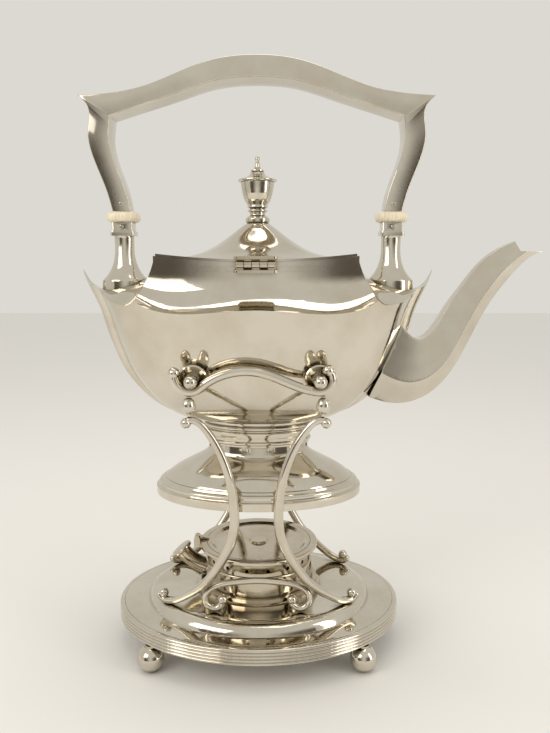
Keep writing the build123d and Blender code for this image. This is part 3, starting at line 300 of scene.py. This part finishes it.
wick_cotton, tree = new_material("singed braided cotton")
weave = add_node(tree, "ShaderNodeTexWave", {"wave_type": "RINGS"},
                 {"Scale": 260.0, "Distortion": 3.0, "Detail": 2.0},
                 Vector=add_node(tree, "ShaderNodeTexCoord").outputs["Object"])
tone = add_node(tree, "ShaderNodeValToRGB", Fac=weave.outputs["Fac"])
tone.color_ramp.elements[0].color = linear("#6d5f4c")
tone.color_ramp.elements[1].color = linear("#cfc4ae")
thread = add_node(tree, "ShaderNodeBump", values={"Strength": 0.6, "Distance": 0.0005},
                  Height=weave.outputs["Fac"])
shader = add_node(tree, "ShaderNodeBsdfPrincipled", values={"Roughness": 0.9},
                  Base_Color=tone.outputs["Color"], Normal=thread.outputs["Normal"])
add_node(tree, "ShaderNodeOutputMaterial", Surface=shader.outputs["BSDF"])
dress(("wick",), wick_cotton)

# ---------------------------------------------------------------- stand's frames
# Two frames of forged round rod carry the kettle: a hooked rail on two turned beads, two legs
# that swell towards their waist and end in balls, and a low scroll in front of the burner.

rod_sides = 32
cap_rings = 9
ball_rings = 17
millimetres = 1000                     # in a metre


def smooth_curve(points, count):
    """Natural cubic spline through the points, run by chord length: returns count places along
    it, each the value of the cubic piece whose second derivatives come from one linear system."""
    points = np.asarray(points, float)
    run = np.concatenate([[0], np.cumsum(np.linalg.norm(np.diff(points, axis=0), axis=1))])
    step = np.diff(run)
    size = len(points)
    system = np.eye(size)
    inner = np.arange(1, size - 1)
    system[inner, inner - 1] = step[:-1]
    system[inner, inner] = 2 * (step[:-1] + step[1:])
    system[inner, inner + 1] = step[1:]
    slope = np.diff(points, axis=0) / step[:, None]
    right = np.zeros_like(points)
    right[1:-1] = 6 * np.diff(slope, axis=0)
    bend = np.linalg.solve(system, right)
    along = np.linspace(0, run[-1], count)
    piece = np.clip(np.searchsorted(run, along, side="right") - 1, 0, size - 2)
    far = (along - run[piece])[:, None]
    near = (run[piece + 1] - along)[:, None]
    length = step[piece][:, None]
    return (bend[piece] * near ** 3 + bend[piece + 1] * far ** 3) / (6 * length) \
        + (points[piece] / length - bend[piece] * length / 6) * near \
        + (points[piece + 1] / length - bend[piece + 1] * length / 6) * far


def rod_surface(path, radii):
    """Round rod: at each place of the path a circle of that place's radius, square to the path,
    and a half ball of rings at each end. Returns points [along, around, 3]."""
    cap = np.linspace(0, np.pi / 2, cap_rings)[:-1]
    tangent = np.gradient(path, axis=0)
    tangent /= np.linalg.norm(tangent, axis=1)[:, None]
    first = path[0] - tangent[0] * radii[0] * np.cos(cap)[:, None]
    last = path[-1] + tangent[-1] * radii[-1] * np.cos(cap[::-1])[:, None]
    middle = np.concatenate([first, path, last])
    radius = np.concatenate([radii[0] * np.sin(cap), radii, radii[-1] * np.sin(cap[::-1])])
    forward = np.concatenate([np.tile(tangent[0], (len(first), 1)), tangent,
                              np.tile(tangent[-1], (len(last), 1))])
    side = np.cross(forward, (0.0, 1.0, 0.0))
    side /= np.linalg.norm(side, axis=1)[:, None]
    up = np.cross(side, forward)
    turn = np.linspace(0, 2 * np.pi, rod_sides, endpoint=False)
    ring = np.cos(turn)[None, :, None] * side[:, None, :] + np.sin(turn)[None, :, None] * up[:, None, :]
    return middle[:, None, :] + radius[:, None, None] * ring


def ball_surface(centre, radius):
    """Ball: circles of latitude from pole to pole. Returns points [along, around, 3]."""
    rise = np.linspace(0, np.pi, ball_rings)[:, None]
    turn = np.linspace(0, 2 * np.pi, rod_sides, endpoint=False)[None, :]
    return np.asarray(centre) + radius * np.stack(
        [np.sin(rise) * np.cos(turn), np.sin(rise) * np.sin(turn), -np.cos(rise) + 0 * turn], axis=-1)


def closed_piece(name, surfaces, finish):
    """One smooth mesh of several closed surfaces, each a grid closed across: the poles' points
    are merged and the faces turned outwards."""
    faces, start = [], 0
    for surface in surfaces:
        rows, columns = surface.shape[:2]
        index = start + np.arange(rows * columns).reshape(rows, columns)
        index = np.concatenate([index, index[:, :1]], axis=1)
        faces.append(np.stack([index[:-1, :-1], index[1:, :-1], index[1:, 1:], index[:-1, 1:]],
                              axis=-1).reshape(-1, 4))
        start += rows * columns
    mesh = bpy.data.meshes.new(name)
    points = np.concatenate([surface.reshape(-1, 3) for surface in surfaces])
    mesh.from_pydata(points, [], np.concatenate(faces))
    shell = bmesh.new()
    shell.from_mesh(mesh)
    bmesh.ops.remove_doubles(shell, verts=shell.verts, dist=1e-7)
    bmesh.ops.recalc_face_normals(shell, faces=shell.faces)
    shell.to_mesh(mesh)
    shell.free()
    mesh.shade_smooth()
    mesh.materials.append(finish)
    piece = bpy.data.objects.new(name, mesh)
    bpy.context.scene.collection.objects.link(piece)
    return piece


dress(("front_rail", "back_rail", "front_base_scroll", "back_base_scroll"), plate)
dress(four("bead"), plate)

# the line of a leg in millimetres, from its upper ball to its toe, for the spout side's back leg
leg_line = np.array([
    (38.2, 50.6, 147.4), (37, 50.5, 148.8), (33.8, 50.4, 148.8), (27.8, 50.2, 143.95),
    (20.4, 50, 131.85), (14.6, 49.8, 114.85), (12.4, 49.2, 98.45), (13.5, 48, 81.15),
    (20, 45.4, 66.05), (29, 41.4, 52), (42, 35, 40.4), (49, 31.4, 35.9), (53.6, 28.8, 34.5),
    (57, 26.8, 34.9), (58.6, 26, 36.5)]) / millimetres
toe_ball = np.array([56.2, 27.6, 38.6]) / millimetres
leg_ball_radius = 0.0029
leg_places = 120
leg_share = np.linspace(0, 1, leg_places)
leg_top_radius, leg_waist_radius, leg_toe_radius = 0.0019, 0.00275, 0.0022
leg_ends = np.where(leg_share < 0.5, leg_top_radius, leg_toe_radius)
leg_radii = leg_ends + (leg_waist_radius - leg_ends) * np.sin(np.pi * leg_share)
for end, side_y in (("front", -1), ("back", 1)):
    for side, side_x in (("left", -1), ("right", 1)):
        mirror = np.array([side_x, side_y, 1])
        leg = closed_piece("forged_leg_" + end + "_" + side, [
            rod_surface(smooth_curve(leg_line * mirror, leg_places), leg_radii),
            ball_surface(leg_line[0] * mirror, leg_ball_radius),
            ball_surface(toe_ball * mirror, leg_ball_radius)], plate)
        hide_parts("leg_" + end + "_" + side)
        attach(leg, "stand")

# ---------------------------------------------------------------- kettle's body
# A raised bowl with canted corners, closed by a shoulder that dips to a saddle at each end.
# It stands on a flared, moulded foot, with a soldered six-sided spout and four turned trunnions.

foot_arris, spout_arris = 0.00015, 0.0003
dress(("bowl", "shoulder_cover"), plate)
dress(("foot_collar", "kettle_foot", "foot_rim"), plate, foot_arris)
dress(("spout",), plate, spout_arris)
dress(four("trunnion"), plate)

# ---------------------------------------------------------------- lid and finial
# A low domed lid on a five-knuckle hinge, with a turned urn finial built of four pieces on a
# threaded stud.

hinge_arris, finial_arris = 0.0002, 0.00015
dress(("lid",), plate)
dress(("lid_hinge_leaf", "body_hinge_leaf", "lid_hinge_pin"), heated, hinge_arris)
dress(("finial_foot", "finial_urn", "finial_cap", "finial_nut"), plate, finial_arris)

# ---------------------------------------------------------------- handle
# A hollow arched handle of sheet stands on two cast columns. Between them sit pale insulators of
# bone, which keep the heat from the hand. A cross pin above and one below hold each of them.

# front view in millimetres: the outer and the inner line of the right side from its lower end
# to the horn and the inner corner, then the arch above and below from there to the middle
outer_side = [(84.5, 263.5), (87.2, 274.1), (94, 292.9), (96.6, 308.2), (95.4, 318), (96.4, 322.4),
              (101.4, 327.4)]
inner_side = [(73.9, 263.5), (75.6, 272.5), (80.6, 287.5), (84.6, 304), (83.5, 316.3)]
outer_arch = [(101.4, 327.4), (85.4, 328.5), (64.5, 332.3), (44.2, 339.8), (24, 346.6), (0, 349.1)]
inner_arch = [(83.5, 316.3), (64.8, 322.2), (44.4, 328.6), (24.1, 334.8), (0, 337)]
lower_half_depth, upper_half_depth, full_depth_z = 6.0, 10.7, 338.4
handle_arris = 0.7
socket_arris = 0.0003                  # in metres
side_places, arch_places, corner_places = 50, 151, 5


def handle_line(side, arch):
    """One outline from the right lower end over the arch to the left one: a spline up the side,
    a spline over the whole arch, and the side mirrored."""
    up = smooth_curve(side, side_places)
    over = smooth_curve(arch + [(-x, z) for x, z in arch[-2::-1]], arch_places)
    down = up[::-1] * (-1, 1)
    return np.concatenate([up[:-1], over, down[1:]])


def handle_surface():
    """Box section between the outer and the inner line. Half its depth is the lower value plus the
    difference to the upper one times the share of the height, 0 at the lower ends and 1 at the
    height of full depth. Its four arrises are quarter circles, and both lower ends are closed."""
    outer, inner = handle_line(outer_side, outer_arch), handle_line(inner_side, inner_arch)
    middle, half = (outer + inner) / 2, (outer - inner) / 2
    width = np.linalg.norm(half, axis=1)
    rise = np.clip((middle[:, 1] - outer_side[0][1]) / (full_depth_z - outer_side[0][1]), 0, 1)
    depth = lower_half_depth + (upper_half_depth - lower_half_depth) * rise
    quarter = np.linspace(0, np.pi / 2, corner_places)
    turn = np.concatenate([quarter + corner * np.pi / 2 for corner in range(4)])
    sign_out = np.repeat([1, -1, -1, 1], corner_places)
    sign_deep = np.repeat([1, 1, -1, -1], corner_places)
    out = sign_out * (width[:, None] - handle_arris) + handle_arris * np.cos(turn)
    deep = sign_deep * (depth[:, None] - handle_arris) + handle_arris * np.sin(turn)
    flat = middle[:, None, :] + (half / width[:, None])[:, None, :] * out[:, :, None]
    ring = np.stack([flat[..., 0], deep, flat[..., 1]], axis=-1) / millimetres
    ends = [np.repeat(row.mean(axis=0)[None, None], ring.shape[1], axis=1) for row in (ring[0], ring[-1])]
    return np.concatenate([ends[0], ring, ends[1]])


handle = closed_piece("arched_handle", [handle_surface()], plate)
handle.modifiers.new("smooth shading", "NODES").node_group = smooth_shading
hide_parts("handle")
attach(handle, "kettle")
dress(("socket_left", "socket_right"), plate, socket_arris)
dress(("handle_pins",), heated)

bone, tree = new_material("polished bone")
place = add_node(tree, "ShaderNodeTexCoord").outputs["Object"]
stretch = add_node(tree, "ShaderNodeMapping", values={"Scale": (700, 700, 120)}, Vector=place)
pores = add_node(tree, "ShaderNodeTexNoise", values={"Scale": 1.0, "Detail": 4.0},
                 Vector=stretch.outputs["Vector"])
tone = add_node(tree, "ShaderNodeValToRGB", Fac=pores.outputs["Fac"])
tone.color_ramp.elements[0].position, tone.color_ramp.elements[0].color = 0.28, linear("#d8c8a6")
tone.color_ramp.elements[1].position, tone.color_ramp.elements[1].color = 0.62, linear("#efe6d0")
# Painted shade: where ambient occlusion finds other surfaces within 3 mm, the bone's colour turns towards
# dark brown #8a7048.
open_air = add_node(tree, "ShaderNodeAmbientOcclusion", {"samples": 8}, {"Distance": 0.003})
colour = add_node(tree, "ShaderNodeMix", {"data_type": "RGBA"}, i0=open_air.outputs["AO"],
                  i7=tone.outputs["Color"])
colour.inputs[6].default_value = linear("#8a7048")
bump = add_node(tree, "ShaderNodeBump", values={"Strength": 0.12, "Distance": 0.00004},
                Height=pores.outputs["Fac"])
shader = add_node(tree, "ShaderNodeBsdfPrincipled", values={"Roughness": 0.28},
                  Base_Color=colour.outputs[2], Normal=bump.outputs["Normal"])
add_node(tree, "ShaderNodeOutputMaterial", Surface=shader.outputs["BSDF"])
dress(("insulator_left", "insulator_right"), bone)
